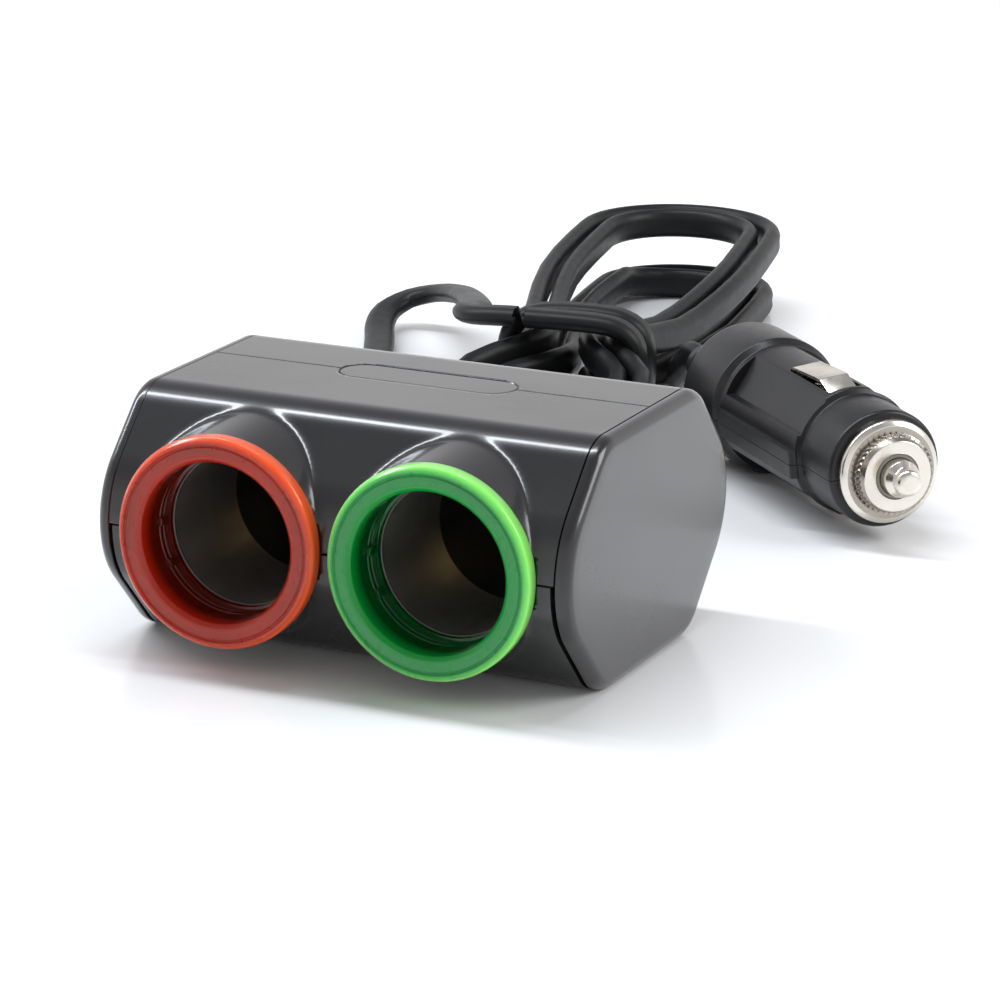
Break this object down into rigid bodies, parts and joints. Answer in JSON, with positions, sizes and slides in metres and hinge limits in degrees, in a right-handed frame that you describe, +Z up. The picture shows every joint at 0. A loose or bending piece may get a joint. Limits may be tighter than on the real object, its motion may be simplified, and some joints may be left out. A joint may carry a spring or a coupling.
{
  "type": "car power socket splitter",
  "caption": "Car power splitter: a barrel-shaped housing with side-by-side 12 V sockets ringed in red and green, on a flat two-core cord tied in a hank and ending in a 12 V plug.",
  "frame": {"origin": "middle of the housing's base, measured over the housing and its rings, without the cord", "axes": "+Z up, the sockets open towards -Y, +X along the housing's length with the green socket on the +X side"},
  "size_m": [0.1364, 0.2515, 0.036],
  "materials": {
    "gloss_black": "gloss black moulded shell",
    "satin_black": "satin black insert",
    "tint_red": "tinted clear plastic, red",
    "tint_green": "tinted clear plastic, green",
    "plated_tube": "drawn and plated sheet",
    "bakelite": "heat resistant moulding",
    "brass": "bright",
    "wire_red": "insulated wire",
    "wire_black": "insulated wire",
    "board_green": "lacquered board",
    "lamp_clear": "clear lamp body",
    "screw_steel": "plated",
    "cord_rubber": "soft moulding",
    "cord_pvc": "flat two-core cord",
    "plug_black": "satin black moulding",
    "nickel": "nickel plated",
    "spring_steel": "spring wire",
    "insulator": "fibre bush",
    "fuse_glass": "glass fuse with plated ends"
  },
  "bodies": {
    "housing": {"upper_shell": "gloss_black", "lower_shell": "gloss_black", "rear_shell": "gloss_black", "end_cap_left": "gloss_black", "end_cap_right": "gloss_black", "top_inlay": "satin_black", "socket_ring_red": "tint_red", "socket_ring_green": "tint_green", "socket_tube_left": "plated_tube", "socket_tube_right": "plated_tube", "socket_base_left": "bakelite", "socket_base_right": "bakelite", "centre_contact_left": "brass", "centre_contact_right": "brass", "positive_strip": "brass", "negative_strip": "plated_tube", "lead_positive": "wire_red", "lead_negative": "wire_black", "circuit_board": "board_green", "indicator_leds": "lamp_clear", "housing_screws": "screw_steel", "cord_relief": "cord_rubber", "cord_lead": "cord_pvc", "cord_hank": "cord_pvc", "cord_tail": "cord_pvc", "plug_boot": "cord_rubber", "plug_shell_upper": "plug_black", "plug_shell_lower": "plug_black", "plug_screw": "screw_steel", "contact_springs": "spring_steel", "fuse_spring": "spring_steel"},
    "tip": {"plug_tip": "nickel", "plug_fuse": "fuse_glass"},
    "contact_upper": {"side_contact_upper": "nickel"},
    "contact_lower": {"side_contact_lower": "nickel"},
    "bush": {"tip_insulator": "insulator"},
    "nut": {"nose_nut": "nickel"}
  },
  "joints": [
    {"name": "tip_press", "type": "slide", "parent": "housing", "child": "tip", "axis": [-0.7071, 0.7071, 0], "range_m": [0, 0.0025], "stiffness_N_per_m": 400, "springref_m": -0.002, "deforming": ["fuse_spring"]},
    {"name": "contact_upper_press", "type": "slide", "parent": "housing", "child": "contact_upper", "axis": [0.0984, 0.0984, -0.9903], "range_m": [0, 0.001], "stiffness_N_per_m": 200, "springref_m": -0.001, "deforming": ["contact_springs"]},
    {"name": "contact_lower_press", "type": "slide", "parent": "housing", "child": "contact_lower", "axis": [-0.0984, -0.0984, 0.9903], "range_m": [0, 0.001], "stiffness_N_per_m": 200, "springref_m": -0.001},
    {"name": "nut_lift", "type": "slide", "parent": "housing", "child": "bush", "axis": [0.7071, -0.7071, 0], "range_m": [0, 0.004]},
    {"name": "nut_turn", "type": "hinge", "parent": "bush", "child": "nut", "pos_m": [0.04519, 0.07351, 0.0113], "axis": [0.7071, -0.7071, 0], "range_deg": [0, 1446]}
  ],
  "couplings": [
    {"joint": "nut_turn", "follows": "nut_lift", "rad_per_m": 6283.2}
  ]
}
